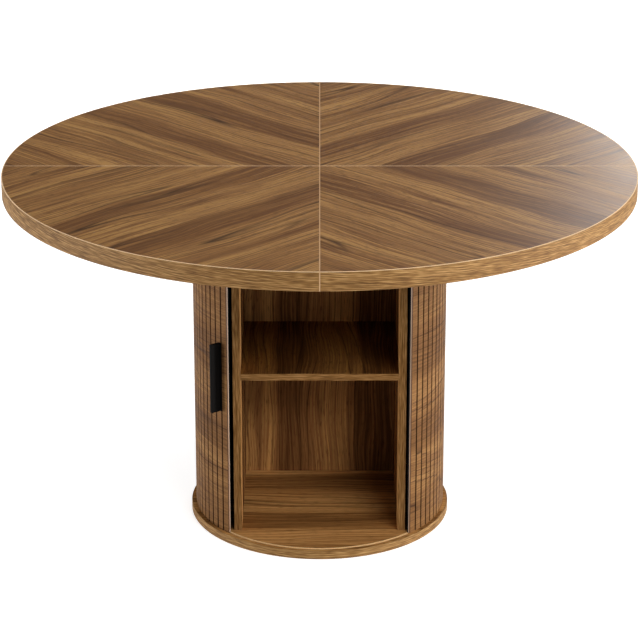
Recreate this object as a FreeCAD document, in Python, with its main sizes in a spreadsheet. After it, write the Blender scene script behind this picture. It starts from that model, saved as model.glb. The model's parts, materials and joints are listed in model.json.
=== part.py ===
import FreeCAD, Part
import os
import re
import Sketcher

# Round dining table on a drum-shaped cabinet with one sliding tambour door.
# Millimetres, +Z up, origin on the floor at the middle of the drum, front of the cabinet towards -Y.
# Angles along the drum are in degrees from the front, positive towards +X (the right-hand side).

SIZES = (
    # Table top: four quarter panels with a rim band and pale bands along the seams
    ("top_diameter", "1300"),
    ("table_height", "760"),
    ("top_thickness", "38"),
    ("rim_band_thickness", "2"),
    ("seam_band_thickness", "1"),
    ("dowel_diameter", "8"),
    ("dowel_length", "40"),
    ("dowel_drum_gap", "56"),
    ("dowel_rim_setback", "90"),
    # Screws, dowels, pins and their holes have a few flat sides, which keeps what repeats light
    ("peg_side_count", "6"),
    ("hole_clearance", "0.1"),
    # Steel plates that tie the quarters together underneath
    ("plate_length", "90"),
    ("plate_width", "40"),
    ("plate_thickness", "2.5"),
    ("plate_corner_chamfer", "5"),
    ("plate_hole_spread", "60"),
    ("plate_hole_step", "20"),
    ("plate_screw_diameter", "4"),
    ("plate_screw_bite", "18"),
    ("plate_screw_head_diameter", "8"),
    ("plate_screw_head_height", "2.4"),
    # Drum: base board, head board and the fluted skin between them
    ("board_overhang", "9.6"),
    ("base_thickness", "18"),
    ("base_band_thickness", "2"),
    ("head_thickness", "18"),
    ("skin_radius", "264.4"),
    ("slat_thickness", "5"),
    ("slat_width", "16"),
    ("slat_chamfer", "0.8"),
    ("slat_groove_width", "2.46"),
    ("edge_strip_thickness", "1"),
    ("fixed_lead_angle", "45"),
    ("fixed_cover_angle", "168"),
    ("fixed_backing_thickness", "3"),
    # Tambour door: shouldered slats on a cloth, guided by tongues in two circular tracks
    ("door_lead_angle", "45.4"),
    ("door_cover_angle", "100"),
    ("door_cloth_thickness", "0.6"),
    ("door_clearance", "2"),
    ("tongue_width", "12"),
    ("tongue_thickness", "3.4"),
    ("tongue_tip_gap", "0.3"),
    ("track_clearance", "0.5"),
    ("track_depth", "6"),
    ("floor_bead_width", "2"),
    # Pull on the second slat of the door: a fin with a narrow flange
    ("pull_height", "149"),
    ("pull_centre_height", "362"),
    ("pull_depth", "24"),
    ("pull_fin_thickness", "5.7"),
    ("pull_fin_offset", "1.5"),
    ("pull_flange_width", "4.1"),
    ("pull_flange_thickness", "2"),
    ("pull_fillet", "1"),
    ("pull_screw_diameter", "3"),
    ("pull_screw_head_diameter", "6"),
    ("pull_screw_head_height", "1.2"),
    ("pull_screw_bite", "9"),
    ("pull_screw_spacing", "96"),
    # Compartment inside the drum
    ("compartment_width", "324"),
    ("partition_thickness", "16"),
    ("partition_corner_gap", "4.8"),
    ("back_panel_thickness", "12"),
    ("back_panel_setback", "26.5"),
    ("shelf_top_height", "369"),
    ("shelf_thickness", "15"),
    ("shelf_gap", "0.5"),
    ("shelf_pin_diameter", "5"),
    ("shelf_pin_length", "20"),
    ("shelf_pin_setback", "60"),
    # Curved wall behind the open door, and ribs that hold the curved walls at mid height
    ("side_wall_thickness", "3"),
    ("side_wall_gap", "3.8"),
    ("side_wall_front_angle", "53"),
    ("side_wall_back_angle", "150"),
    ("rib_thickness", "15"),
    ("rib_drop", "24"),
    ("rib_setback", "21.5"),
    ("rib_end_gap", "6"),
    # Screws through the base and head boards
    ("board_screw_diameter", "5"),
    ("board_screw_head_diameter", "10"),
    ("board_screw_head_height", "3"),
    ("partition_screw_bite", "30"),
    ("partition_screw_setback", "41.5"),
    ("top_screw_bite", "20"),
    ("top_screw_inset", "62"),
    ("top_screw_offset", "40"),
)

FORMULAS = (
    ("top_radius", "=top_diameter / 2"),
    ("top_underside", "=table_height - top_thickness"),
    ("panel_radius", "=top_radius - rim_band_thickness"),
    ("seam_end_angle", "=asin(seam_band_thickness / panel_radius) / 1deg"),
    ("board_radius", "=skin_radius + board_overhang"),
    ("dowel_height", "=table_height - top_thickness / 2"),
    ("dowel_near_reach", "=board_radius + dowel_drum_gap"),
    ("dowel_far_reach", "=top_radius - dowel_rim_setback"),
    ("dowel_hole_diameter", "=dowel_diameter + 2 * hole_clearance"),
    ("plate_reach", "=(board_radius + top_radius) / 2"),
    ("plate_hole_diameter", "=plate_screw_diameter + 2 * hole_clearance"),
    ("head_underside", "=top_underside - head_thickness"),
    ("slat_back_radius", "=skin_radius - slat_thickness"),
    ("slat_half_angle", "=atan(slat_width / 2 / slat_back_radius) / 1deg"),
    ("slat_pitch_angle", "=(slat_width + slat_groove_width) / skin_radius * 180 / pi"),
    ("strip_angle", "=atan(edge_strip_thickness / skin_radius) / 1deg"),
    ("fixed_slat_count", "=round(fixed_cover_angle / slat_pitch_angle)"),
    ("door_slat_count", "=round(door_cover_angle / slat_pitch_angle)"),
    ("fixed_sweep", "=(fixed_slat_count - 1) * slat_pitch_angle + 2 * slat_half_angle"),
    ("fixed_start", "=fixed_lead_angle + strip_angle"),
    ("door_sweep", "=(door_slat_count - 1) * slat_pitch_angle + 2 * slat_half_angle"),
    ("door_start", "=-door_lead_angle - strip_angle - door_sweep"),
    ("door_foot", "=base_thickness + door_clearance"),
    ("door_head", "=head_underside - door_clearance"),
    ("tongue_length", "=door_clearance + track_depth - tongue_tip_gap"),
    ("tongue_inner", "=skin_radius - (slat_thickness + tongue_thickness) / 2"),
    ("tongue_outer", "=tongue_inner + tongue_thickness"),
    ("track_inner", "=tongue_inner - track_clearance"),
    ("track_outer", "=tongue_outer + track_clearance"),
    ("track_sweep", "=fixed_lead_angle - door_start"),
    ("bead_inner", "=track_inner - floor_bead_width"),
    ("pull_slat_angle", "=-door_lead_angle - strip_angle - slat_half_angle - slat_pitch_angle"),
    ("partition_inner", "=compartment_width / 2"),
    ("partition_outer", "=partition_inner + partition_thickness"),
    ("cloth_back_radius", "=slat_back_radius - door_cloth_thickness"),
    ("backing_inner", "=slat_back_radius - fixed_backing_thickness"),
    ("side_wall_outer", "=cloth_back_radius - side_wall_gap"),
    ("side_wall_inner", "=side_wall_outer - side_wall_thickness"),
    ("partition_corner_radius", "=side_wall_inner - partition_corner_gap"),
    ("partition_depth",
     "=2 * sqrt(partition_corner_radius * partition_corner_radius - partition_outer * partition_outer)"),
    ("compartment_front", "=-partition_depth / 2"),
    ("compartment_back", "=partition_depth / 2 - back_panel_setback - back_panel_thickness"),
    ("shelf_depth", "=compartment_back - compartment_front - shelf_gap"),
    ("pin_height", "=shelf_top_height - shelf_thickness - shelf_pin_diameter / 2"),
    ("pin_hole_diameter", "=shelf_pin_diameter + 2 * hole_clearance"),
    ("pin_front", "=compartment_front + shelf_pin_setback"),
    ("pin_back", "=compartment_front + shelf_depth - shelf_pin_setback"),
    ("rib_height", "=shelf_top_height - rib_drop"),
    ("rib_half_length", "=partition_depth / 2 - rib_setback"),
    ("rear_rib_half_length", "=side_wall_inner * sin(side_wall_back_angle * 1deg) - rib_end_gap"),
    ("board_hole_diameter", "=board_screw_diameter + 2 * hole_clearance"),
    ("board_sink_diameter", "=board_screw_head_diameter + 2 * hole_clearance"),
    ("partition_middle", "=partition_inner + partition_thickness / 2"),
    ("partition_screw_reach", "=partition_depth / 2 - partition_screw_setback"),
    ("top_screw_near_reach", "=partition_inner - top_screw_inset"),
    ("top_screw_far_reach", "=(partition_outer + side_wall_inner) / 2"),
    ("pull_middle", "=pull_fin_offset + pull_fin_thickness / 2"),
    ("pull_hole_diameter", "=pull_screw_diameter + 2 * hole_clearance"),
    ("pull_head_edge", "=pull_middle + pull_screw_head_diameter / 2"),
    ("pull_head_seat", "=sqrt(cloth_back_radius * cloth_back_radius - pull_head_edge * pull_head_edge)"),
)

ALIAS = re.compile(r"\b(" + "|".join(name for name, _ in SIZES + FORMULAS) + r")\b")
FRONT = "-90"
UP = FreeCAD.Vector(0, 0, 1)
SKETCH_ACROSS = FreeCAD.Vector(0, 0, 1)
SKETCH_UPRIGHT = FreeCAD.Vector(0, 1, 0)
FULL_TURN = "360"
QUARTER_TURN = "90"
FOUR = "4"
QUARTERS = ("back_right", "back_left", "front_left", "front_right")
PULL_ANGLE = f"pull_slat_angle + {FRONT}"
SEAM_DOWELS = (("dowel_near_reach", "dowel_height"), ("dowel_far_reach", "dowel_height"))
SHELF_PINS = (("pin_front", "pin_height"), ("pin_back", "pin_height"))
TOP_SCREWS = (
    ("top_screw_near_reach", "top_screw_near_reach"),
    ("top_screw_far_reach", "top_screw_offset"),
)
ORIGIN = -1
START, END, CENTRE = range(1, 4)

doc = FreeCAD.newDocument("RoundTableWithCabinet")
sizes = doc.addObject("Spreadsheet::Sheet", "sizes")
subparts = []


def fill_sheet():
    """Writes every driving size and every formula to the sheet, one row each."""
    for row, (name, text) in enumerate(SIZES + FORMULAS, start=1):
        sizes.set(f"A{row}", name)
        sizes.set(f"B{row}", text)
        sizes.setAlias(f"B{row}", name)
    doc.recompute()


def bound(text):
    """Turns words of the sheet into references that an expression can hold."""
    return ALIAS.sub(r"sizes.\1", text)


def value(text):
    """Gives the present value of an expression in words of the sheet."""
    return float(sizes.evalExpression(bound(text)))


def new_body(name, is_subpart=True):
    """Adds an empty body, which is one sub-part unless it only goes into a group."""
    body = doc.addObject("PartDesign::Body", name)
    body.Label = name
    body.AllowCompound = True
    if is_subpart:
        subparts.append(body)
    return body


def origin_feature(body, role):
    return next(item for item in body.Origin.OriginFeatures if item.Role == role)


def new_sketch(body, role, lift="0", turn="0"):
    """Attaches a sketch to a body's own plane, lifted along its normal and turned about the drum's axis."""
    sketch = body.newObject("Sketcher::SketchObject", body.Name + "_sketch")
    sketch.AttachmentSupport = [(origin_feature(body, role), "")]
    sketch.MapMode = "FlatFace"
    pivot = SKETCH_ACROSS if role == "XY_Plane" else SKETCH_UPRIGHT
    sketch.AttachmentOffset = FreeCAD.Placement(FreeCAD.Vector(), FreeCAD.Rotation(pivot, 0))
    sketch.setExpression("AttachmentOffset.Rotation.Angle", bound(turn))
    if role == "XY_Plane":
        sketch.setExpression("AttachmentOffset.Base.z", bound(lift))
    else:
        sketch.setExpression("AttachmentOffset.Base.x", bound(f"({lift}) * sin(({turn}) * 1deg)"))
        sketch.setExpression("AttachmentOffset.Base.z", bound(f"({lift}) * cos(({turn}) * 1deg)"))
    return sketch


def tie(sketch, kind, items, text):
    """Adds one dimension to a sketch and binds it to the sheet."""
    index = sketch.addConstraint(Sketcher.Constraint(kind, *items, value(text)))
    sketch.setExpression(f"Constraints[{index}]", bound(text))


def tie_point(sketch, edge, end, across, along):
    """Places one point of a sketch by its two distances from the sketch's origin."""
    tie(sketch, "DistanceX", (ORIGIN, START, edge, end), across)
    tie(sketch, "DistanceY", (ORIGIN, START, edge, end), along)


def join(sketch, first, first_end, second, second_end):
    sketch.addConstraint(Sketcher.Constraint("Coincident", first, first_end, second, second_end))


def draw_polygon(sketch, points):
    """Draws a closed outline whose corners are given as pairs of expressions."""
    corners = [FreeCAD.Vector(value(across), value(along), 0) for across, along in points]
    count = len(corners)
    edges = [
        sketch.addGeometry(Part.LineSegment(corners[i], corners[(i + 1) % count])) for i in range(count)
    ]
    for i, edge in enumerate(edges):
        join(sketch, edge, END, edges[(i + 1) % count], START)
    for edge, (across, along) in zip(edges, points):
        tie_point(sketch, edge, START, across, along)


def draw_rectangle(sketch, left, low, right, high):
    draw_polygon(sketch, ((left, low), (right, low), (right, high), (left, high)))


def draw_pegs(sketch, centres, diameter, first_corner="0"):
    """Draws the few-sided outlines of pegs, or of the holes that take them."""
    for across, along in centres:
        corners = []
        for side in range(int(value("peg_side_count"))):
            angle = f"({first_corner} + {side} * {FULL_TURN} / peg_side_count) * 1deg"
            corners.append((
                f"{across} + {diameter} / 2 * cos({angle})",
                f"{along} + {diameter} / 2 * sin({angle})",
            ))
        draw_polygon(sketch, corners)


def draw_arc(sketch, radius, start, end):
    """Draws an arc about the sketch's origin between two corners, and ties its radius."""
    circle = Part.Circle(FreeCAD.Vector(), UP, value(radius))
    arc = sketch.addGeometry(Part.ArcOfCircle(circle, circle.parameter(start), circle.parameter(end)))
    join(sketch, arc, CENTRE, ORIGIN, START)
    tie(sketch, "Radius", (arc,), radius)
    return arc


def draw_sector(sketch, radius, inset):
    """Draws a quarter disc whose two straight sides stand an inset away from the sketch's axes."""
    near = value(inset)
    reach = (value(radius) ** 2 - near ** 2) ** 0.5
    corner = FreeCAD.Vector(near, near, 0)
    right = FreeCAD.Vector(reach, near, 0)
    far = FreeCAD.Vector(near, reach, 0)
    first = sketch.addGeometry(Part.LineSegment(corner, right))
    arc = draw_arc(sketch, radius, right, far)
    last = sketch.addGeometry(Part.LineSegment(far, corner))
    join(sketch, first, END, arc, START)
    join(sketch, arc, END, last, START)
    join(sketch, last, END, first, START)
    tie_point(sketch, first, START, inset, inset)
    sketch.addConstraint(Sketcher.Constraint("Horizontal", first))
    sketch.addConstraint(Sketcher.Constraint("Vertical", last))


def draw_rib(sketch, near, half_length, radius):
    """Draws a board with three straight sides and one side along a curved wall."""
    low = -value(half_length)
    reach = (value(radius) ** 2 - low ** 2) ** 0.5
    corners = [
        FreeCAD.Vector(value(near), low, 0),
        FreeCAD.Vector(reach, low, 0),
        FreeCAD.Vector(reach, -low, 0),
        FreeCAD.Vector(value(near), -low, 0),
    ]
    first = sketch.addGeometry(Part.LineSegment(corners[0], corners[1]))
    arc = draw_arc(sketch, radius, corners[1], corners[2])
    last = sketch.addGeometry(Part.LineSegment(corners[2], corners[3]))
    back = sketch.addGeometry(Part.LineSegment(corners[3], corners[0]))
    join(sketch, first, END, arc, START)
    join(sketch, arc, END, last, START)
    join(sketch, last, END, back, START)
    join(sketch, back, END, first, START)
    tie_point(sketch, first, START, near, "-" + half_length)
    tie_point(sketch, back, START, near, half_length)
    sketch.addConstraint(Sketcher.Constraint("Horizontal", first))
    sketch.addConstraint(Sketcher.Constraint("Horizontal", last))


def pad(body, sketch, length):
    feature = body.newObject("PartDesign::Pad", body.Name + "_pad")
    feature.Profile = sketch
    feature.setExpression("Length", bound(length))
    return feature


def pocket(body, sketch, depth):
    """Cuts from the sketch along its normal, and makes sure that something was cut."""
    doc.recompute()
    before = body.Shape.Volume
    feature = body.newObject("PartDesign::Pocket", body.Name + "_pocket")
    feature.Profile = sketch
    feature.Reversed = True
    feature.setExpression("Length", bound(depth))
    doc.recompute()
    if not body.Shape.Volume < before:
        raise RuntimeError(body.Label + ": a pocket cuts nothing")
    return feature


def turn(body, profile, start, sweep, kind="PartDesign::Revolution"):
    """Turns a radius-and-height outline about the drum's axis, from a start angle through a sweep."""
    sketch = new_sketch(body, "XZ_Plane", turn=f"{start} + {FRONT}")
    draw_polygon(sketch, profile)
    feature = body.newObject(kind, body.Name + "_turn")
    feature.Profile = sketch
    feature.ReferenceAxis = (sketch, ["V_Axis"])
    feature.setExpression("Angle", bound(sweep))
    return feature


def turned_block(body, inner, outer, low, high, start, sweep):
    return turn(body, ((inner, low), (outer, low), (outer, high), (inner, high)), start, sweep)


def turned_cut(body, inner, outer, low, high, start, sweep):
    """Cuts a circular channel, and makes sure that something was cut."""
    doc.recompute()
    before = body.Shape.Volume
    profile = ((inner, low), (outer, low), (outer, high), (inner, high))
    turn(body, profile, start, sweep, kind="PartDesign::Groove")
    doc.recompute()
    if not body.Shape.Volume < before:
        raise RuntimeError(body.Label + ": a channel cuts nothing")


def ring_of(body, features, count, sweep):
    """Repeats features about the drum's axis, evenly over a sweep."""
    pattern = body.newObject("PartDesign::PolarPattern", body.Name + "_ring")
    pattern.Originals = features
    pattern.Axis = (origin_feature(body, "Z_Axis"), [""])
    pattern.setExpression("Angle", bound(sweep))
    pattern.setExpression("Occurrences", bound(count))
    body.Tip = pattern
    return pattern


def pegs(body, role, centres, diameter, low, length, angle="0"):
    """Pads pegs from a height along a plane's normal."""
    sketch = new_sketch(body, role, lift=low, turn=angle)
    draw_pegs(sketch, centres, diameter)
    return pad(body, sketch, length)


def holes(body, role, centres, diameter, low, depth, angle="0", first_corner="0"):
    """Cuts holes for pegs from a height along a plane's normal."""
    sketch = new_sketch(body, role, lift=low, turn=angle)
    draw_pegs(sketch, centres, diameter, first_corner)
    return pocket(body, sketch, depth)


def box(name, corner, lengths):
    """Adds a plain board by its lowest corner and its three lengths."""
    board = doc.addObject("Part::Box", name)
    board.Label = name
    for axis, text in zip("xyz", corner):
        board.setExpression(f"Placement.Base.{axis}", bound(text))
    for side, text in zip(("Length", "Width", "Height"), lengths):
        board.setExpression(side, bound(text))
    subparts.append(board)
    return board


def turn_quarters(item, quarter):
    """Places a piece drawn in the first quarter of the plan in another quarter."""
    item.Placement = FreeCAD.Placement(FreeCAD.Vector(), FreeCAD.Rotation(UP, 90 * quarter))


def plate_holes(side):
    """Gives the screw places of the plate over the +X seam, on one side of that seam or on both."""
    rows = (f"{side}plate_hole_spread / 2",) if side else ("-plate_hole_spread / 2", "plate_hole_spread / 2")
    steps = ("plate_reach - plate_hole_step / 2", "plate_reach + plate_hole_step / 2")
    return [(step, row) for row in rows for step in steps]


def partition_screws():
    """Gives the places of the screws into the ends of both partitions."""
    steps = ("-partition_screw_reach", "partition_screw_reach")
    return [(side + "partition_middle", step) for side in ("-", "") for step in steps]


def make_top_quarter(quarter):
    body = new_body("top_quarter_" + QUARTERS[quarter])
    outline = new_sketch(body, "XY_Plane", lift="top_underside")
    draw_sector(outline, "panel_radius", "seam_band_thickness")
    pad(body, outline, "top_thickness")
    bore = "dowel_length / 2 + hole_clearance"
    holes(body, "YZ_Plane", SEAM_DOWELS, "dowel_hole_diameter", "0", bore)
    holes(body, "XZ_Plane", SEAM_DOWELS, "dowel_hole_diameter", f"-({bore})", bore)
    over_x = plate_holes("+")
    over_y = [(row, step) for step, row in over_x]
    depth = "plate_screw_bite + hole_clearance"
    holes(body, "XY_Plane", over_x, "plate_hole_diameter", "top_underside", depth)
    holes(body, "XY_Plane", over_y, "plate_hole_diameter", "top_underside", depth,
          first_corner=QUARTER_TURN)
    depth = "top_screw_bite + hole_clearance"
    holes(body, "XY_Plane", TOP_SCREWS, "board_hole_diameter", "top_underside", depth)
    turn_quarters(body, quarter)


def make_rim_band(quarter):
    body = new_body("rim_band_" + QUARTERS[quarter])
    turned_block(body, "panel_radius", "top_radius", "top_underside", "table_height",
                 f"{QUARTER_TURN} + seam_end_angle", f"{QUARTER_TURN} - 2 * seam_end_angle")
    turn_quarters(body, quarter)


def make_seam_bands():
    """Two pale strips on the straight sides of each quarter, drilled for the dowels."""
    sides = (("YZ_Plane", "0", "0"), ("XZ_Plane", "-seam_band_thickness", "seam_band_thickness"))
    strips = []
    for quarter in range(len(QUARTERS)):
        for plane, lift, start in sides:
            strip = new_body("seam_strip", is_subpart=False)
            outline = new_sketch(strip, plane, lift=lift)
            draw_rectangle(outline, start, "top_underside", "top_radius", "table_height")
            draw_pegs(outline, SEAM_DOWELS, "dowel_hole_diameter")
            pad(strip, outline, "seam_band_thickness")
            turn_quarters(strip, quarter)
            strips.append(strip)
    group = doc.addObject("Part::Compound", "seam_bands")
    group.Links = strips
    subparts.append(group)


def make_seam_dowels():
    body = new_body("seam_dowels")
    rods = pegs(body, "XZ_Plane", SEAM_DOWELS, "dowel_diameter", "-dowel_length / 2", "dowel_length")
    ring_of(body, [rods], FOUR, FULL_TURN)


def make_seam_plates():
    body = new_body("seam_plates")
    outline = new_sketch(body, "XY_Plane", lift="top_underside - plate_thickness")
    near, far = "plate_reach - plate_width / 2", "plate_reach + plate_width / 2"
    side, cut = "plate_length / 2", "plate_corner_chamfer"
    draw_polygon(outline, (
        (f"{near} + {cut}", f"-{side}"), (f"{far} - {cut}", f"-{side}"),
        (far, f"-{side} + {cut}"), (far, f"{side} - {cut}"),
        (f"{far} - {cut}", side), (f"{near} + {cut}", side),
        (near, f"{side} - {cut}"), (near, f"-{side} + {cut}"),
    ))
    draw_pegs(outline, plate_holes(""), "plate_hole_diameter")
    plate = pad(body, outline, "plate_thickness")
    ring_of(body, [plate], FOUR, FULL_TURN)


def make_seam_screws():
    body = new_body("seam_plate_screws")
    centres = plate_holes("")
    face = "top_underside - plate_thickness"
    shanks = pegs(body, "XY_Plane", centres, "plate_screw_diameter", face,
                  "plate_thickness + plate_screw_bite")
    heads = pegs(body, "XY_Plane", centres, "plate_screw_head_diameter",
                 f"{face} - plate_screw_head_height", "plate_screw_head_height")
    ring_of(body, [shanks, heads], FOUR, FULL_TURN)


def make_top_screws():
    body = new_body("top_fixing_screws")
    shanks = pegs(body, "XY_Plane", TOP_SCREWS, "board_screw_diameter", "head_underside",
                  "head_thickness + top_screw_bite")
    heads = pegs(body, "XY_Plane", TOP_SCREWS, "board_screw_head_diameter",
                 "head_underside - board_screw_head_height", "board_screw_head_height")
    ring_of(body, [shanks, heads], FOUR, FULL_TURN)


def make_base_board():
    body = new_body("base_board")
    turned_block(body, "0", "board_radius - base_band_thickness", "0", "base_thickness", "0", FULL_TURN)
    turned_cut(body, "bead_inner", "track_outer", "base_thickness - track_depth", "base_thickness",
               "door_start", "track_sweep")
    holes(body, "XY_Plane", partition_screws(), "board_hole_diameter", "0", "base_thickness")
    holes(body, "XY_Plane", partition_screws(), "board_sink_diameter", "0",
          "board_screw_head_height + hole_clearance")


def make_base_band():
    body = new_body("base_edge_band")
    turned_block(body, "board_radius - base_band_thickness", "board_radius", "0", "base_thickness",
                 "0", FULL_TURN)


def make_floor_bead():
    """A pale strip that lines the inner wall of the floor track."""
    body = new_body("floor_bead")
    turned_block(body, "bead_inner", "track_inner", "base_thickness - track_depth", "base_thickness",
                 "door_start", "track_sweep")


def make_head_board():
    body = new_body("cabinet_head_board")
    turned_block(body, "0", "board_radius", "head_underside", "top_underside", "0", FULL_TURN)
    turned_cut(body, "track_inner", "track_outer", "head_underside", "head_underside + track_depth",
               "door_start", "track_sweep")
    bores = holes(body, "XY_Plane", TOP_SCREWS, "board_hole_diameter", "head_underside", "head_thickness")
    ring_of(body, [bores], FOUR, FULL_TURN)
    holes(body, "XY_Plane", partition_screws(), "board_hole_diameter", "head_underside", "head_thickness")
    depth = "board_screw_head_height + hole_clearance"
    holes(body, "XY_Plane", partition_screws(), "board_sink_diameter", f"top_underside - ({depth})", depth)


def make_partition(name, sign):
    """A side board of the compartment; sign is - on the left-hand side and empty on the right."""
    body = new_body(name)
    low_side = "-partition_outer" if sign else "partition_inner"
    outline = new_sketch(body, "YZ_Plane", lift=low_side)
    draw_rectangle(outline, "compartment_front", "base_thickness", "-compartment_front", "head_underside")
    pad(body, outline, "partition_thickness")
    pin_bore = "shelf_pin_length / 2 + hole_clearance"
    pin_start = f"-partition_inner - ({pin_bore})" if sign else "partition_inner"
    holes(body, "YZ_Plane", SHELF_PINS, "pin_hole_diameter", pin_start, pin_bore)
    ends = [place for place in partition_screws() if place[0].startswith("-") == bool(sign)]
    bite = "partition_screw_bite + hole_clearance"
    holes(body, "XY_Plane", ends, "board_hole_diameter", "base_thickness", bite)
    holes(body, "XY_Plane", ends, "board_hole_diameter", f"head_underside - ({bite})", bite)


def make_partition_screws(name, head_low, shank_low, shank_length):
    body = new_body(name)
    pegs(body, "XY_Plane", partition_screws(), "board_screw_diameter", shank_low, shank_length)
    pegs(body, "XY_Plane", partition_screws(), "board_screw_head_diameter", head_low,
         "board_screw_head_height")


def make_shelf_pins():
    body = new_body("shelf_pins")
    low = "partition_inner - shelf_pin_length / 2"
    for start in (low, f"-({low}) - shelf_pin_length"):
        pegs(body, "YZ_Plane", SHELF_PINS, "shelf_pin_diameter", start, "shelf_pin_length")


def make_rib(name, near, half_length, radius, turn_angle):
    body = new_body(name)
    outline = new_sketch(body, "XY_Plane", lift="rib_height", turn=turn_angle)
    draw_rib(outline, near, half_length, radius)
    pad(body, outline, "rib_thickness")


def draw_slat(sketch):
    """Draws the section of one slat: flat faces, with chamfers on the two outer arrises."""
    side, cut = "slat_width / 2", "slat_chamfer"
    draw_polygon(sketch, (
        ("slat_back_radius", f"-{side}"), (f"skin_radius - {cut}", f"-{side}"),
        ("skin_radius", f"-{side} + {cut}"), ("skin_radius", f"{side} - {cut}"),
        (f"skin_radius - {cut}", side), ("slat_back_radius", side),
    ))


def make_fixed_slats():
    body = new_body("fixed_slats")
    section = new_sketch(body, "XY_Plane", lift="base_thickness",
                         turn=f"fixed_start + slat_half_angle + {FRONT}")
    draw_slat(section)
    slat = pad(body, section, "head_underside - base_thickness")
    ring_of(body, [slat], "fixed_slat_count", "(fixed_slat_count - 1) * slat_pitch_angle")


def make_door_slats():
    """Shouldered slats: a tongue at each end runs in the tracks of the base and head boards."""
    body = new_body("door_slats")
    angle = f"door_start + slat_half_angle + {FRONT}"
    section = new_sketch(body, "XY_Plane", lift="door_foot", turn=angle)
    draw_slat(section)
    features = [pad(body, section, "door_head - door_foot")]
    for low in ("door_foot - tongue_length", "door_head"):
        tongue = new_sketch(body, "XY_Plane", lift=low, turn=angle)
        draw_rectangle(tongue, "tongue_inner", "-tongue_width / 2", "tongue_outer", "tongue_width / 2")
        features.append(pad(body, tongue, "tongue_length"))
    ring_of(body, features, "door_slat_count", "(door_slat_count - 1) * slat_pitch_angle")
    drill_for_pull(body, "slat_back_radius", "slat_thickness")


def make_edge_strips(name, starts, low, high):
    """Pale strips on the ends of the fluted skin, one solid for each start angle."""
    body = new_body(name)
    for start in starts:
        turned_block(body, "slat_back_radius", "skin_radius", low, high, start, "strip_angle")


def make_pull():
    """A straight fin with a narrow flange at its foot, rounded along its long outer edges."""
    body = new_body("door_pull")
    outline = new_sketch(body, "XY_Plane", lift="pull_centre_height - pull_height / 2", turn=PULL_ANGLE)
    fin_side = "pull_fin_offset + pull_fin_thickness"
    flange_side = f"{fin_side} + pull_flange_width"
    tip = "skin_radius + pull_depth"
    flange = "skin_radius + pull_flange_thickness"
    draw_polygon(outline, (
        ("skin_radius", "pull_fin_offset"), (tip, "pull_fin_offset"), (tip, fin_side),
        (flange, fin_side), (flange, flange_side), ("skin_radius", flange_side),
    ))
    block = pad(body, outline, "pull_height")
    doc.recompute()
    tip_radius = value(tip)
    long_edges = []
    for number, edge in enumerate(block.Shape.Edges, start=1):
        ends = [(vertex.Point.x ** 2 + vertex.Point.y ** 2) ** 0.5 for vertex in edge.Vertexes]
        if min(ends) > tip_radius - value("pull_fillet"):
            long_edges.append(f"Edge{number}")
    fillet = body.newObject("PartDesign::Fillet", "door_pull_fillet")
    fillet.Base = (block, long_edges)
    fillet.setExpression("Radius", bound("pull_fillet"))
    drill_for_pull(body, "skin_radius", "pull_screw_bite + hole_clearance")


def pull_screws():
    """Gives the places of the two screws of the pull, across its slat and in height."""
    return [("pull_middle", f"pull_centre_height {step} pull_screw_spacing / 2") for step in "-+"]


def drill_for_pull(body, low, depth):
    holes(body, "YZ_Plane", pull_screws(), "pull_hole_diameter", low, depth, PULL_ANGLE)


def make_pull_screws():
    """Two screws from the back of the door, through cloth and slat, into the fin."""
    body = new_body("door_pull_screws")
    pegs(body, "YZ_Plane", pull_screws(), "pull_screw_diameter", "pull_head_seat",
         "skin_radius + pull_screw_bite - pull_head_seat", PULL_ANGLE)
    pegs(body, "YZ_Plane", pull_screws(), "pull_screw_head_diameter",
         "pull_head_seat - pull_screw_head_height", "pull_screw_head_height", PULL_ANGLE)


def make_table_top():
    for quarter in range(len(QUARTERS)):
        make_top_quarter(quarter)
        make_rim_band(quarter)
    make_seam_bands()
    make_seam_dowels()
    make_seam_plates()
    make_seam_screws()
    make_top_screws()


def make_drum():
    make_base_board()
    make_base_band()
    make_floor_bead()
    make_head_board()
    make_partition("partition_left", "-")
    make_partition("partition_right", "")
    make_partition_screws("base_screws", "0", "0", "base_thickness + partition_screw_bite")
    make_partition_screws("head_screws", "top_underside - board_screw_head_height",
                          "head_underside - partition_screw_bite", "partition_screw_bite + head_thickness")
    box("back_panel", ("-partition_inner", "compartment_back", "base_thickness"),
        ("compartment_width", "back_panel_thickness", "head_underside - base_thickness"))
    box("shelf", ("-partition_inner + shelf_gap", "compartment_front", "shelf_top_height - shelf_thickness"),
        ("compartment_width - 2 * shelf_gap", "shelf_depth", "shelf_thickness"))
    make_shelf_pins()
    make_rib("rib_right", "partition_outer", "rib_half_length", "backing_inner", "0")
    make_rib("rib_left", "partition_outer", "rib_half_length", "side_wall_inner", "180")
    make_rib("rib_rear", "compartment_back + back_panel_thickness", "rear_rib_half_length",
             "backing_inner", QUARTER_TURN)
    side_wall = new_body("side_wall_left")
    turned_block(side_wall, "side_wall_inner", "side_wall_outer", "base_thickness", "head_underside",
                 "-side_wall_back_angle", "side_wall_back_angle - side_wall_front_angle")
    make_fixed_slats()
    backing = new_body("fixed_backing")
    turned_block(backing, "backing_inner", "slat_back_radius", "base_thickness", "head_underside",
                 "fixed_start", "fixed_sweep")
    make_edge_strips("fixed_edge_strips", ("fixed_lead_angle", "fixed_start + fixed_sweep"),
                     "base_thickness", "head_underside")


def make_door():
    make_door_slats()
    cloth = new_body("door_cloth")
    turned_block(cloth, "cloth_back_radius", "slat_back_radius", "door_foot", "door_head",
                 "door_start", "door_sweep")
    drill_for_pull(cloth, "cloth_back_radius - door_cloth_thickness", "3 * door_cloth_thickness")
    make_edge_strips("door_edge_strip", ("-door_lead_angle - strip_angle",), "door_foot", "door_head")
    make_pull()
    make_pull_screws()


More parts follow.
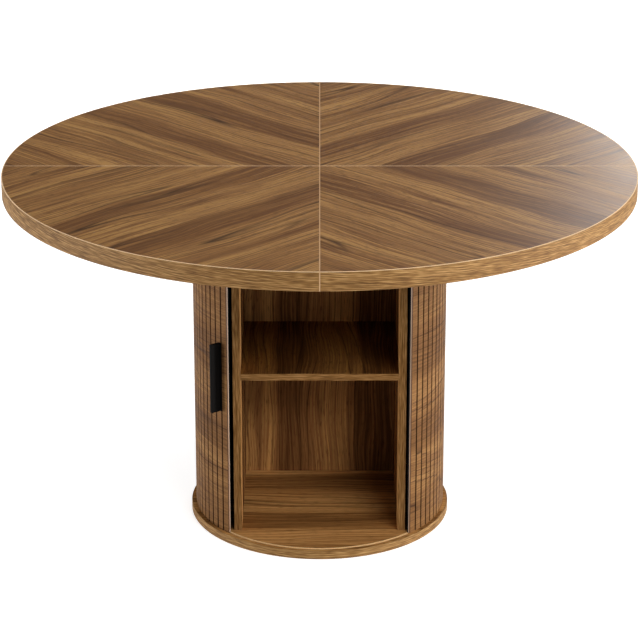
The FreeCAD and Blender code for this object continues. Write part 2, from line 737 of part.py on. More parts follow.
def check_document():
    """Stops before anything is written if a feature failed or a sub-part has no sound shape."""
    doc.recompute()
    for item in doc.Objects:
        if {"Invalid", "Error"} & set(item.State):
            raise RuntimeError(f"{item.Label}: {item.State}")
    for item in subparts:
        if item.Shape.isNull() or not item.Shape.isValid() or not item.Shape.Solids:
            raise RuntimeError(f"{item.Label}: no sound shape")


fill_sheet()
make_table_top()
make_drum()
make_door()
check_document()
os.makedirs("parts", exist_ok=True)
for subpart in subparts:
    subpart.Shape.exportStep(f"parts/{subpart.Label}.step")
    print(subpart.Label, len(subpart.Shape.Solids), "solids")
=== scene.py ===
import json
import math

import bmesh
import bpy
import numpy
from mathutils import Matrix, Vector

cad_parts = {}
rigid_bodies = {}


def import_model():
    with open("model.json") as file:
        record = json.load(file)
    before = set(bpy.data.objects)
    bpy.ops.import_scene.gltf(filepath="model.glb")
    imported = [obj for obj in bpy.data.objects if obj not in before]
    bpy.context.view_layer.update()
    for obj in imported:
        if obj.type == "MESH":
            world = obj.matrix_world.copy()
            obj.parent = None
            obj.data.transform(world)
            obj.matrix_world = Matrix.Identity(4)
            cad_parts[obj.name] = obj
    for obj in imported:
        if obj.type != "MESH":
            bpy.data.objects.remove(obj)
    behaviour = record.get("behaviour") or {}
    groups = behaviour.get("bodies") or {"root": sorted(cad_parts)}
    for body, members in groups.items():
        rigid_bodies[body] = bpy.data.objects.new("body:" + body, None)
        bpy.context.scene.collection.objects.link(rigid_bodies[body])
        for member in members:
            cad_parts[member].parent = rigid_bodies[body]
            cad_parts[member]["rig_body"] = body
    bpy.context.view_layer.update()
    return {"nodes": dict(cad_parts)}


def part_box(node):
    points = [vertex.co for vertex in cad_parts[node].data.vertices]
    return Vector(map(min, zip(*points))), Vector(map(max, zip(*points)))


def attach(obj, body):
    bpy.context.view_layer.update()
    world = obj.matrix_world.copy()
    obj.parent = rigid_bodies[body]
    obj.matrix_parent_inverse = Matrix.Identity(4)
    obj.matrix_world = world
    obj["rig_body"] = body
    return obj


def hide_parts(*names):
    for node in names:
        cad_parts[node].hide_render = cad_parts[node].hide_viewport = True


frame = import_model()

# Round walnut dining table: a quartered top on a fluted drum with an open compartment and a tambour door.
# Metres, +Z up, origin on the floor under the middle of the top, front towards -Y.

MM = 0.001
NODES = frame["nodes"]
# Quarters of the top, from the right round by the back
QUARTERS = ("back_right", "back_left", "front_left", "front_right")

# Sizes of the made pieces in millimetres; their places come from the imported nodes
BOARD_EASE = 0.5
SEAM_ROUND = 0.15
PULL_EASE = 0.35
PLATE_EASE = 0.4
PIN_EASE = 0.4
RIM_ROUND = 1.0
PLINTH_ROUND = 0.8
SHORTEST_EASED_EDGE = 6.0
WELD_DISTANCE = 0.001
SKIN_RADIUS = 264.4
SLAT_THICKNESS = 5.0

# Angles between two faces in degrees: up to which they are one flat, up to which they shade as one round,
# and from which the edge between them is an arris to be eased
FLAT_ANGLE = 0.4
SMOOTH_ANGLE = 12.0
ARRIS_ANGLE = 30.0

# Steps that draw a round: the arris of a band, a quarter of the table, and a peg
ROUND_STEPS = 4
QUARTER_STEPS = 96
LATHE_STEPS = 24
ARRIS_TURNS = [math.pi / 2 * step / ROUND_STEPS for step in range(ROUND_STEPS + 1)]

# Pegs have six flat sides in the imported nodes: the round peg's radius as a share of their corners' reach,
# and the share of the widest reach from which a corner belongs to the head
PEG_FLAT_SHARE = 0.86
PEG_HEAD_SHARE = 0.9

# Axes of a board, for the way its grain runs
X_AXIS, Y_AXIS, Z_AXIS = 0, 1, 2

# Slats along the drum, in degrees from the front: their pitch, and the middle of the first of each skin
SLAT_PITCH = 4.0
FIRST_FIXED_SLAT = 46.98
FIRST_DOOR_SLAT = -47.38

# How veneer is laid: how far the leaf is moved along the drum's height in millimetres, how far it changes
# from slat to slat, how steeply the rim's grain rises, and the leaf's change at the back and right of the top
SKIN_LEAF_SHIFT = -293.0
SLAT_LEAF_STEP = 0.015
RIM_GRAIN_SLOPE = 0.06
BACK_LEAF = 2.0
RIGHT_LEAF = 0.15

# How far a face's normal leans to a side when the face counts as being on that side
FACES_LEVEL = 0.7
FACES_UP = 0.3
FACES_FRONT = 0.2
FACES_OUT = 0.7
SLAT_FACE = 0.85
SLAT_SHOULDER = 0.5

# The photographed view: a long lens a little above the table, looking down on its front
CAMERA_PLACE = (0.0, -5.0554, 2.3270)
CAMERA_PITCH = 19.801
CAMERA_SENSOR = 36.0
CAMERA_LENS = 144.87
CAMERA_SHIFT = (0.0005, -0.0595)

# Sockets of the colour form of the mix node, and the length of the wave texture's wave at scale 1
MIX_FIRST, MIX_SECOND, MIX_RESULT = 6, 7, 2
WAVE_LENGTH = 0.314


def linear(hex_colour):
    """Turns an sRGB hex colour to the linear colour that a shader socket takes."""
    parts = [int(hex_colour[i:i + 2], 16) / 255 for i in (1, 3, 5)]
    return [c / 12.92 if c <= 0.04045 else ((c + 0.055) / 1.055) ** 2.4 for c in parts] + [1.0]


def add(tree, kind, inputs=None, **settings):
    """Adds a node, sets its properties, and fills or links its inputs."""
    node = tree.nodes.new(kind)
    for name, setting in settings.items():
        setattr(node, name, setting)
    for key, given in (inputs or {}).items():
        if isinstance(given, bpy.types.NodeSocket):
            tree.links.new(given, node.inputs[key])
        else:
            node.inputs[key].default_value = given
    return node


def new_material(name, **constants):
    """Gives a material, its node tree and its surface shader, with the shader's constant sockets set."""
    material = bpy.data.materials.new(name)
    material.use_nodes = True
    tree = material.node_tree
    tree.nodes.clear()
    shader = add(tree, "ShaderNodeBsdfPrincipled")
    for socket, constant in constants.items():
        shader.inputs[socket.replace("_", " ")].default_value = constant
    add(tree, "ShaderNodeOutputMaterial", {"Surface": shader.outputs["BSDF"]})
    return material, tree, shader


def set_ramp(ramp, stops):
    """Puts stops of (place from 0 to 1, linear colour) on a colour ramp."""
    elements = ramp.color_ramp.elements
    while len(elements) > 1:
        elements.remove(elements[-1])
    for number, (spot, colour) in enumerate(stops):
        element = elements.new(spot) if number else elements[0]
        element.position = spot
        element.color = colour


def grey(level):
    """Gives an opaque grey of one linear level."""
    return (level, level, level, 1.0)


def drawn_out(tree, grain, seed, length, width, detail):
    """Gives noise drawn out along the grain, with figures of a usual length and width in millimetres."""
    scaled = add(tree, "ShaderNodeMapping", {
        "Vector": grain, "Location": (0.0, 0.0, seed), "Scale": (1 / length, 1 / width, 1.0)})
    noise = add(tree, "ShaderNodeTexNoise", {"Vector": scaled.outputs[0], "Scale": 1.0, "Detail": detail})
    return noise.outputs[0]


# One leaf of the veneer, met in every walnut face: spot across the leaf in millimetres, then lightness 0 to 1
LEAF_HALF_WIDTH = 460.0
LEAF_STRIPES = (
    (-450, 0.08), (-425, 0.50), (-360, 0.60), (-334, 0.15), (-315, 0.70), (-292, 0.95), (-276, 0.50),
    (-200, 0.45), (-165, 0.90), (-141, 0.50), (-115, 0.92), (-99, 0.55), (-91, 0.02), (-42, 0.12),
    (-18, 0.50), (30, 0.78), (74, 0.70), (85, 0.03), (150, 0.02), (176, 0.60), (238, 0.58), (256, 0.18),
    (276, 0.65), (294, 0.95), (314, 0.52), (400, 0.50), (425, 0.90),
)


def walnut(name, tones, line, stripe_share, streak_share, slat_share, roughness, gloss):
    """Walnut veneer, sliced and satin lacquered: striped browns, wavering growth lines and short dark pores.

    Tones are dark, middle and light, and line is the colour of growth lines and pores. The shares say how far
    the leaf's stripes, the fibres and the change from slat to slat move the tone.
    The grain of a piece is laid in its mesh as (along, across, leaf), the first two in millimetres.
    Pieces with different leaf numbers have different figures.
    """
    wander_length, wander_width, wander_reach = 360.0, 150.0, 14.0
    ring_length, ring_width, rings = 3600.0, 150.0, 19.0
    fade_length, fade_width, faintest_line = 500.0, 45.0, 0.18
    # Fibres and pores are finer on the real veneer; they are drawn this coarse so that they show.
    # Each layer of fibres has its seed, share, length and width
    streaks = ((4.0, 0.4, 700.0, 18.0), (7.0, 0.8, 500.0, 7.0), (9.0, 2.4, 220.0, 3.8))
    pore_length, pore_width, pore_strength = 24.0, 2.2, 0.6
    fibre_depth, fibre_strength = 0.2, 0.12
    tone_spots = (0.05, 0.5, 0.95)
    smoother, rougher = 0.05, 0.07
    # The span of noise over which each of these goes from one end to the other
    wander_span, fade_span, pore_span, satin_span = (0.25, 0.75), (0.38, 0.6), (0.56, 0.74), (0.3, 0.7)
    material, tree, shader = new_material(name, Specular_IOR_Level=gloss)
    grain = add(tree, "ShaderNodeAttribute", attribute_name="grain").outputs["Vector"]

    slow = drawn_out(tree, grain, seed=0.0, length=wander_length, width=wander_width, detail=1.5)
    sideways = add(tree, "ShaderNodeMapRange", {
        "Value": slow, "From Min": wander_span[0], "From Max": wander_span[1],
        "To Min": -wander_reach, "To Max": wander_reach})
    offset = add(tree, "ShaderNodeCombineXYZ", {"Y": sideways.outputs[0]})
    wandered = add(tree, "ShaderNodeVectorMath", {0: grain, 1: offset.outputs[0]}, operation="ADD").outputs[0]

    parts = add(tree, "ShaderNodeSeparateXYZ", {0: wandered})
    across = add(tree, "ShaderNodeMapRange", {
        "Value": parts.outputs["Y"], "From Min": -LEAF_HALF_WIDTH, "From Max": LEAF_HALF_WIDTH})
    stripes = add(tree, "ShaderNodeValToRGB", {"Fac": across.outputs[0]})
    set_ramp(stripes, [((spot + LEAF_HALF_WIDTH) / (2 * LEAF_HALF_WIDTH), grey(lightness))
                       for spot, lightness in LEAF_STRIPES])

    slat = add(tree, "ShaderNodeTexWhiteNoise", {"W": parts.outputs["Z"]}, noise_dimensions="1D")
    shares = stripe_share + slat_share + streak_share * sum(share for _, share, _, _ in streaks)
    tone = add(tree, "ShaderNodeMath", {
        0: slat.outputs["Value"], 1: slat_share, 2: 0.5 - shares / 2}, operation="MULTIPLY_ADD")
    tone = add(tree, "ShaderNodeMath", {
        0: stripes.outputs["Color"], 1: stripe_share, 2: tone.outputs[0]}, operation="MULTIPLY_ADD")
    for seed, share, length, width in streaks:
        fibres = drawn_out(tree, wandered, seed, length, width, detail=2.5)
        tone = add(tree, "ShaderNodeMath", {
            0: fibres, 1: share * streak_share, 2: tone.outputs[0]}, operation="MULTIPLY_ADD")
    colour = add(tree, "ShaderNodeValToRGB", {"Fac": tone.outputs[0]})
    set_ramp(colour, [(spot, linear(tint)) for spot, tint in zip(tone_spots, tones)])

    # A growth line darkens slowly, is darkest at its end and breaks off at once
    field = drawn_out(tree, wandered, seed=2.0, length=ring_length, width=ring_width, detail=1.5)
    turns = add(tree, "ShaderNodeMath", {0: field, 1: rings}, operation="MULTIPLY")
    saw = add(tree, "ShaderNodeMath", {0: turns.outputs[0]}, operation="FRACT")
    growth = add(tree, "ShaderNodeValToRGB", {"Fac": saw.outputs[0]})
    set_ramp(growth, [(0.0, grey(1.0)), (0.06, grey(0.1)), (0.2, grey(0.0)), (0.84, grey(0.04)),
                      (0.94, grey(0.3)), (1.0, grey(1.0))])
    patches = drawn_out(tree, grain, seed=6.0, length=fade_length, width=fade_width, detail=1.0)
    fade = add(tree, "ShaderNodeMapRange", {
        "Value": patches, "From Min": fade_span[0], "From Max": fade_span[1], "To Min": faintest_line})
    strength = add(tree, "ShaderNodeMath", {
        0: growth.outputs["Color"], 1: fade.outputs[0]}, operation="MULTIPLY")
    lined = add(tree, "ShaderNodeMix", {
        0: strength.outputs[0], MIX_FIRST: colour.outputs["Color"],
        MIX_SECOND: linear(line)}, data_type="RGBA")
    pores = drawn_out(tree, wandered, seed=15.0, length=pore_length, width=pore_width, detail=1.0)
    dashes = add(tree, "ShaderNodeMapRange", {
        "Value": pores, "From Min": pore_span[0], "From Max": pore_span[1], "To Max": pore_strength})
    pored = add(tree, "ShaderNodeMix", {
        0: dashes.outputs[0], MIX_FIRST: lined.outputs[MIX_RESULT],
        MIX_SECOND: linear(line)}, data_type="RGBA")
    tree.links.new(pored.outputs[MIX_RESULT], shader.inputs["Base Color"])

    satin = add(tree, "ShaderNodeMapRange", {
        "Value": fibres, "From Min": satin_span[0], "From Max": satin_span[1],
        "To Min": roughness - smoother, "To Max": roughness + rougher})
    tree.links.new(satin.outputs[0], shader.inputs["Roughness"])
    relief = add(tree, "ShaderNodeBump", {
        "Height": fibres, "Strength": fibre_strength, "Distance": fibre_depth * MM})
    tree.links.new(relief.outputs[0], shader.inputs["Normal"])
    return material


def edge_veneer(name, tones, roughness, gloss):
    """Straight-grained edge veneer, glued round a rim: short light and dark fibres, paler than the faces."""
    # Fibres are finer on the real veneer; they are drawn this coarse so that they show.
    # Each layer of fibres has its seed, share, length and width
    layers = ((0.0, 0.2, 300.0, 12.0), (5.0, 0.55, 110.0, 2.2), (11.0, 0.7, 28.0, 1.7))
    contrast = 0.17
    fibre_depth, fibre_strength = 0.15, 0.15
    material, tree, shader = new_material(name, Roughness=roughness, Specular_IOR_Level=gloss)
    grain = add(tree, "ShaderNodeAttribute", attribute_name="grain").outputs["Vector"]
    tone = 0.0
    for seed, share, length, width in layers:
        fibres = drawn_out(tree, grain, seed, length, width, detail=1.5)
        summed = add(tree, "ShaderNodeMath", {0: fibres, 1: share, 2: tone}, operation="MULTIPLY_ADD")
        tone = summed.outputs[0]
    colour = add(tree, "ShaderNodeValToRGB", {"Fac": tone})
    middle = sum(share for _, share, _, _ in layers) / 2
    spots = (middle - contrast, middle, middle + contrast)
    set_ramp(colour, [(spot, linear(tint)) for spot, tint in zip(spots, tones)])
    tree.links.new(colour.outputs["Color"], shader.inputs["Base Color"])
    relief = add(tree, "ShaderNodeBump", {
        "Height": fibres, "Strength": fibre_strength, "Distance": fibre_depth * MM})
    tree.links.new(relief.outputs[0], shader.inputs["Normal"])
    return material


def speckled(name, colours, grit, roughness, bump=0.1, **constants):
    """A surface of small grains: colours mixed by noise whose grains have a size in millimetres.

    Grains too fine to show in the render are drawn coarser than the real ones, at about a millimetre or more.
    """
    first_spot, spot_span = 0.35, 0.3
    wear = 0.08
    depth_share = 0.3
    material, tree, shader = new_material(name, **constants)
    where = add(tree, "ShaderNodeTexCoord").outputs["Object"]
    noise = add(tree, "ShaderNodeTexNoise", {"Vector": where, "Scale": 1 / (grit * MM), "Detail": 2.0})
    colour = add(tree, "ShaderNodeValToRGB", {"Fac": noise.outputs[0]})
    set_ramp(colour, [(first_spot + spot_span * number / (len(colours) - 1), linear(tint))
                      for number, tint in enumerate(colours)])
    tree.links.new(colour.outputs["Color"], shader.inputs["Base Color"])
    worn = add(tree, "ShaderNodeMapRange", {
        "Value": noise.outputs[0], "To Min": roughness - wear, "To Max": roughness + wear})
    tree.links.new(worn.outputs[0], shader.inputs["Roughness"])
    relief = add(tree, "ShaderNodeBump", {
        "Height": noise.outputs[0], "Strength": bump, "Distance": grit * MM * depth_share})
    tree.links.new(relief.outputs[0], shader.inputs["Normal"])
    return material


def canvas(name):
    """Glued cotton canvas, plain woven: the web that joins the door's slats from behind."""
    # Real threads are finer; they are drawn this coarse so that the weave shows
    thread, thread_depth = 1.6, 0.3
    material, tree, shader = new_material(name, Roughness=0.95, Specular_IOR_Level=0.1)
    grain = add(tree, "ShaderNodeAttribute", attribute_name="grain").outputs["Vector"]
    threads = []
    for direction in ("X", "Y"):
        wave = add(tree, "ShaderNodeTexWave", {
            "Vector": grain, "Scale": WAVE_LENGTH / thread, "Distortion": 0.6}, bands_direction=direction)
        threads.append(wave.outputs["Fac"])
    weave = add(tree, "ShaderNodeMath", {0: threads[0], 1: threads[1]}, operation="MULTIPLY")
    colour = add(tree, "ShaderNodeMix", {
        0: weave.outputs[0], MIX_FIRST: linear("#2A2420"), MIX_SECOND: linear("#4A4038")}, data_type="RGBA")
    tree.links.new(colour.outputs[MIX_RESULT], shader.inputs["Base Color"])
    relief = add(tree, "ShaderNodeBump", {
        "Height": weave.outputs[0], "Strength": 0.4, "Distance": thread_depth * MM})
    tree.links.new(relief.outputs[0], shader.inputs["Normal"])
    return material


def edging_with_painted_shade(name):
    """Edging on an end of the skin, coloured by depth: brown outside, then a pale stripe, then nearly black
    inside as painted shade of the gap beside it.
    """
    # Depths under the skin's outer face in millimetres
    start, end, blend = 1.6, 3.2, 0.2
    material, tree, shader = new_material(name, Roughness=0.5, Specular_IOR_Level=0.3)
    grain = add(tree, "ShaderNodeAttribute", attribute_name="grain").outputs["Vector"]
    level = add(tree, "ShaderNodeSeparateXYZ", {0: grain}).outputs["Y"]
    depth = add(tree, "ShaderNodeMapRange", {"Value": level, "From Min": 0.0, "From Max": -SLAT_THICKNESS})
    colour = add(tree, "ShaderNodeValToRGB", {"Fac": depth.outputs[0]})
    set_ramp(colour, [(below / SLAT_THICKNESS, linear(tint)) for below, tint in (
        (start, "#5E3E24"), (start + blend, "#C6A68A"), (end, "#C6A68A"), (end + blend, "#120A05"))])
    tree.links.new(colour.outputs["Color"], shader.inputs["Base Color"])
    return material


# Walnut veneer of the top, sliced and satin lacquered: broad stripes in clear contrast under a soft sheen
TOP_VENEER = walnut(
    "walnut_sliced_top", ("#653F1D", "#8A6034", "#AB8049"), "#3E2611",
    stripe_share=0.68, streak_share=1.0, slat_share=0.0, roughness=0.38, gloss=0.1)
# Walnut veneer of the drum's skin, sliced: calmer stripes, and a small change of tone from slat to slat
SLAT_VENEER = walnut(
    "walnut_sliced_slats", ("#55361A", "#7E5731", "#A37A4B"), "#3A210F",
    stripe_share=0.42, streak_share=0.45, slat_share=0.12, roughness=0.6, gloss=0.1)
# Walnut veneer of the partitions, back panel and head board, sliced: strong stripes, nearly matt
BOARD_VENEER = walnut(
    "walnut_sliced_boards", ("#5E3C20", "#97683D", "#C99557"), "#3A220C",
    stripe_share=0.7, streak_share=0.6, slat_share=0.0, roughness=0.85, gloss=0.05)
# Walnut veneer of the shelf, sliced: the same stripes as the boards, painted in deeper browns as shade, with
# fainter lines
SHELF_VENEER_PAINTED_SHADE = walnut(
    "walnut_sliced_shelf_painted_shade", ("#442A12", "#704B26", "#966D36"), "#38220F",
    stripe_share=0.7, streak_share=0.6, slat_share=0.0, roughness=0.85, gloss=0.05)
# Walnut veneer of the base, sliced: the same stripes as the boards, painted in paler browns as light
BASE_VENEER_PAINTED_LIGHT = walnut(
    "walnut_sliced_base_painted_light", ("#744E28", "#B37F48", "#DDA968"), "#4A2E14",
    stripe_share=0.7, streak_share=0.6, slat_share=0.0, roughness=0.85, gloss=0.05)
# Oak-toned veneer, glued round the rim and lacquered: fine fibres that turn pale where light grazes them
RIM_VENEER = edge_veneer(
    "oak_toned_edge_veneer", ("#5A3B1A", "#845F32", "#B18A57"), roughness=0.72, gloss=0.32)
# Oak-toned veneer, glued round the plinth and lacquered: the same fibres as the rim, painted a little paler
# as light
PLINTH_VENEER_PAINTED_LIGHT = edge_veneer(
    "oak_toned_edge_veneer_painted_light", ("#62411D", "#8E6737", "#BE955F"), roughness=0.72, gloss=0.32)
# Walnut veneer, glued on the boards' front edges: short brown fibres, matt
BOARD_EDGE = edge_veneer("walnut_edge_veneer", ("#573A1C", "#7D5830", "#A2794B"), roughness=0.9, gloss=0.05)
# Cream ABS edging, extruded: an even pale line along the seam that runs from front to back
PALE_EDGING = speckled(
    "abs_edging_cream", ("#BC9872", "#C8A580"), grit=3.0, roughness=0.8, Specular_IOR_Level=0.1)
# The same cream ABS edging, painted paler as light: a brighter line along the rim's upper arris and the other
# seam
EDGING_PAINTED_LIGHT = speckled(
    "abs_edging_cream_painted_light", ("#E0BE94", "#EBCBA4"), grit=3.0, roughness=0.7, Specular_IOR_Level=0.2)
# Oak bead, planed and lacquered: a warm pale line along the front edge of the floor
OAK_BEAD = speckled(
    "oak_bead_lacquered", ("#F0C486", "#F8D098"), grit=3.0, roughness=0.6, Specular_IOR_Level=0.15)
# Edging down each end of the drum's skin: brown outside and a thin pale line, then nearly black inside, which
# is painted shade of the gap beside it
EDGING_WITH_PAINTED_SHADE = edging_with_painted_shade("abs_edging_with_painted_shade")
# Walnut in the flutes, painted nearly black as shade: dark lines between the slats
FLUTE_PAINTED_SHADE = speckled(
    "walnut_flutes_painted_shade", ("#120A05", "#1B1009"), grit=2.0, roughness=0.8, Specular_IOR_Level=0.1)
# Walnut on the shoulders of the flutes, painted dark as shade: a softer brown beside each flute
SHOULDER_PAINTED_SHADE = speckled(
    "walnut_shoulders_painted_shade", ("#3E2614", "#4E321B"), grit=2.0, roughness=0.7, Specular_IOR_Level=0.1)
# Particle board, sawn: pale chips in brown glue, met on the underside of the base
CHIP_BOARD = speckled(
    "particle_board_sawn", ("#6B5036", "#8D6E4B", "#B08F66"), grit=2.5, roughness=0.9, bump=0.5)
# Hardboard, pressed and painted nearly black: painted shade, the dark behind the gaps
PAINTED_SHADE_BOARD = speckled(
    "hardboard_painted_shade", ("#0E0A08", "#17110D"), grit=2.0, roughness=0.85, bump=0.2, Specular_IOR_Level=0.1)
# Melamine paper, pressed on: the plain brown underside of the top
BACKING_PAPER = speckled(
    "melamine_paper_pressed", ("#4A3524", "#543D2A"), grit=4.0, roughness=0.7, bump=0.05,
    Specular_IOR_Level=0.2)
# Beech dowel, turned: pale pink-brown
BEECH = speckled("beech_turned", ("#BE946A", "#D0A97E"), grit=1.5, roughness=0.7)
# Mild steel, zinc plated: cool grey with a faint crystal bloom
ZINC = speckled(
    "steel_zinc_plated", ("#B4B7BA", "#CDD0D2"), grit=1.2, roughness=0.34, bump=0.05, Metallic=1.0)
# Steel, powder coated black: matt with a fine orange-peel grain
BLACK_COAT = speckled(
    "steel_powder_coated", ("#080706", "#0E0B0A"), grit=0.8, roughness=0.6, bump=0.15,
    Specular_IOR_Level=0.05)
# Cotton canvas, woven and glued: a dull dark cloth with a square weave
CANVAS = canvas("cotton_canvas_glued")


def axis_grain(axis, leaf, side=1.0):
    """Grain along one axis of a board, on every face that holds it; side -1 lays the leaf turned over."""
    def grain(point, normal, _):
        thin = max(range(3), key=lambda i: abs(normal[i]))
        flat = [i for i in range(3) if i != thin]
        along = axis if axis in flat else flat[0]
        across = flat[0] + flat[1] - along
        return point[along], side * point[across], leaf
    return grain


def quarter_grain(point, normal, middle):
    """Grain along the diagonal of a quarter of the top, in a leaf that is turned over at the seams."""
    leaf = BACK_LEAF * (middle.y > 0) + RIGHT_LEAF * (middle.x > 0)
    spread = (abs(point.x) - abs(point.y)) / math.sqrt(2)
    return (abs(point.x) + abs(point.y)) / math.sqrt(2), math.copysign(spread, spread * middle.x), leaf


def drum_grain(leaf, shift=0.0, first_slat=None, slope=0.0):
    """Grain round the drum, level or on a slope, in leaves that change a little from slat to slat."""
    def grain(point, normal, middle):
        turn = math.atan2(point.x, -point.y)
        radius = math.hypot(point.x, point.y)
        level = point.z if abs(normal.z) < FACES_LEVEL else radius
        slat = 0
        if first_slat is not None:
            slat = round((math.degrees(math.atan2(middle.x, -middle.y)) - first_slat) / SLAT_PITCH)
        return turn * radius, level + shift + slope * turn * radius, leaf + SLAT_LEAF_STEP * slat
    return grain


def strip_grain(point, normal, middle):
    """Depth under the outer face of the drum's skin, for strips with a pale stripe."""
    return point.z, math.hypot(point.x, point.y) - SKIN_RADIUS, 0.0


def welded(node):
    """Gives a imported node's mesh with its corners joined and its flat faces whole."""
    shape = bmesh.new()
    shape.from_mesh(NODES[node].data)
    bmesh.ops.remove_doubles(shape, verts=shape.verts, dist=WELD_DISTANCE * MM)
    bmesh.ops.dissolve_limit(
        shape, angle_limit=math.radians(FLAT_ANGLE), verts=shape.verts, edges=shape.edges)
    return shape


def eased(node, width):
    """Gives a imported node's mesh with its long outer arrises eased, as sanding leaves them."""
    shape = welded(node)
    arrises = [
        edge for edge in shape.edges
        if edge.is_manifold and edge.is_convex and edge.calc_face_angle() > math.radians(ARRIS_ANGLE)
        and edge.calc_length() > SHORTEST_EASED_EDGE * MM
    ]
    bmesh.ops.bevel(shape, geom=arrises, offset=width * MM, segments=2, profile=0.5, affect="EDGES")
    return shape


def turned(profile, start, sweep, steps):
    """Turns a closed outline of (radius, height) about the drum's axis; angles in degrees from the front."""
    shape = bmesh.new()
    whole = sweep >= 360
    rings = []
    for step in range(steps if whole else steps + 1):
        turn = math.radians(start + sweep * step / steps)
        rings.append([shape.verts.new((r * math.sin(turn), -r * math.cos(turn), z)) for r, z in profile])
    count = len(profile)
    for number in range(steps):
        near, far = rings[number], rings[(number + 1) % len(rings)]
        for i in range(count):
            shape.faces.new((near[i], far[i], far[(i + 1) % count], near[(i + 1) % count]))
    if not whole:
        shape.faces.new(rings[0])
        shape.faces.new(reversed(rings[-1]))
    bmesh.ops.recalc_face_normals(shape, faces=shape.faces)
    return shape


def band_profile(inner, outer, low, high, rounding):
    """Outline of an edge band whose two outer arrises are rounded."""
    lower = [(outer - rounding + rounding * math.sin(turn), low + rounding - rounding * math.cos(turn))
             for turn in ARRIS_TURNS]
    upper = [(outer - rounding + rounding * math.cos(turn), high - rounding + rounding * math.sin(turn))
             for turn in ARRIS_TURNS]
    return [(inner, low)] + lower + upper + [(inner, high)]


def seam_strips():
    """Eight edging strips that line the seams of the top, each with its arrises at the seam rounded."""
    shape = bmesh.new()
    low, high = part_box("seam_bands")
    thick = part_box("top_quarter_back_right")[0].x
    rounding = SEAM_ROUND * MM
    upper = [(rounding - rounding * math.sin(turn), high.z - rounding + rounding * math.cos(turn))
             for turn in ARRIS_TURNS]
    lower = [(rounding - rounding * math.cos(turn), low.z + rounding - rounding * math.sin(turn))
             for turn in ARRIS_TURNS]
    profile = [(thick, low.z), (thick, high.z)] + upper + lower
    for quarter in range(4):
        turn = Matrix.Rotation(math.radians(90 * quarter), 3, "Z")
        back = [[turn @ Vector((across, along, z)) for across, z in profile] for along in (0.0, high.y)]
        side = [[turn @ Vector((along, across, z)) for across, z in profile] for along in (thick, high.x)]
        for near, far in (back, side):
            near = [shape.verts.new(point) for point in near]
            far = [shape.verts.new(point) for point in far]
            shape.faces.new(near)
            shape.faces.new(reversed(far))
            for i in range(len(profile)):
                shape.faces.new((near[i - 1], near[i], far[i], far[i - 1]))
    bmesh.ops.recalc_face_normals(shape, faces=shape.faces)
    return shape


def islands(shape):
    """Gives the corner points of each part of a mesh that hangs together."""
    seen = set()
    for first in shape.verts:
        if first in seen:
            continue
        seen.add(first)
        island = [first]
        for vert in island:
            others = [edge.other_vert(vert) for edge in vert.link_edges]
            fresh = [other for other in others if other not in seen]
            seen.update(fresh)
            island.extend(fresh)
        yield [vert.co for vert in island]


def measured_pegs(node):
    """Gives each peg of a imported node: tip, direction to its head, length, shank, head height, head radius.

    Radii are the reach of the corners of its flat sides.
    """
    shape = welded(node)
    found = []
    for island in islands(shape):
        points = numpy.array(island)
        middle = points.mean(axis=0)
        axis = numpy.linalg.svd(points - middle)[2][0]
        heights = (points - middle) @ axis
        reach = numpy.linalg.norm(points - middle - numpy.outer(heights, axis), axis=1)
        if reach[heights.argmax()] < reach[heights.argmin()]:
            axis, heights = -axis, -heights
        head = reach > PEG_HEAD_SHARE * reach.max()
        shank = reach.max() if head.all() else reach[~head].max()
        found.append((Vector(middle + axis * heights.min()), Vector(axis), float(numpy.ptp(heights)),
                      float(shank), float(heights.max() - heights[head].min()), float(reach.max())))
    shape.free()
    return found


def add_rings(shape, tip, axis, rings):
    """Turns one shape along an axis from rings of (height, radius, sides); a ring with sides is a polygon."""
    across = axis.orthogonal().normalized()
    upright = axis.cross(across)
    loops = []
    for height, radius, sides in rings:
        loop = []
        for step in range(LATHE_STEPS):
            turn = math.tau * step / LATHE_STEPS
            flat = math.tau / sides if sides else math.tau
            reach = radius / math.cos(turn % flat - flat / 2) if sides else radius
            ray = across * math.cos(turn) + upright * math.sin(turn)
            loop.append(shape.verts.new(tip + axis * height + ray * reach))
        loops.append(loop)
    for near, far in zip(loops, loops[1:]):
        for step in range(LATHE_STEPS):
            shape.faces.new((near[step - 1], near[step], far[step], far[step - 1]))
    shape.faces.new(reversed(loops[0]))
    shape.faces.new(loops[-1])


def screws(node):
    """Pan-head screws with a hexagon socket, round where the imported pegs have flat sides."""
    # Shares of the shank's radius, of the head's height and of the head's radius
    point_radius, point_length = 0.2, 1.5
    side_depth, shoulder_depth, socket_depth = 0.55, 0.2, 0.6
    shoulder_radius, crown_radius, socket_radius = 0.9, 0.66, 0.4
    shape = bmesh.new()
    for tip, axis, length, shank, head_height, head in measured_pegs(node):
        shank *= PEG_FLAT_SHARE
        head *= PEG_FLAT_SHARE
        seat = length - head_height
        add_rings(shape, tip, axis, (
            (0.0, point_radius * shank, 0), (point_length * shank, shank, 0),
            (seat, shank, 0), (seat, head, 0),
            (length - side_depth * head_height, head, 0),
            (length - shoulder_depth * head_height, shoulder_radius * head, 0),
            (length, crown_radius * head, 0), (length, socket_radius * head, 6),
            (length - socket_depth * head_height, socket_radius * head, 6)))
    bmesh.ops.recalc_face_normals(shape, faces=shape.faces)
    return shape


def pins(node):
    """Round shelf pins with eased ends."""
    shape = bmesh.new()
    for tip, axis, length, shank, _, _ in measured_pegs(node):
        shank *= PEG_FLAT_SHARE
        ease = PIN_EASE * MM
        add_rings(shape, tip, axis, (
            (0.0, shank - ease, 0), (ease, shank, 0), (length - ease, shank, 0), (length, shank - ease, 0)))
    bmesh.ops.recalc_face_normals(shape, faces=shape.faces)
    return shape


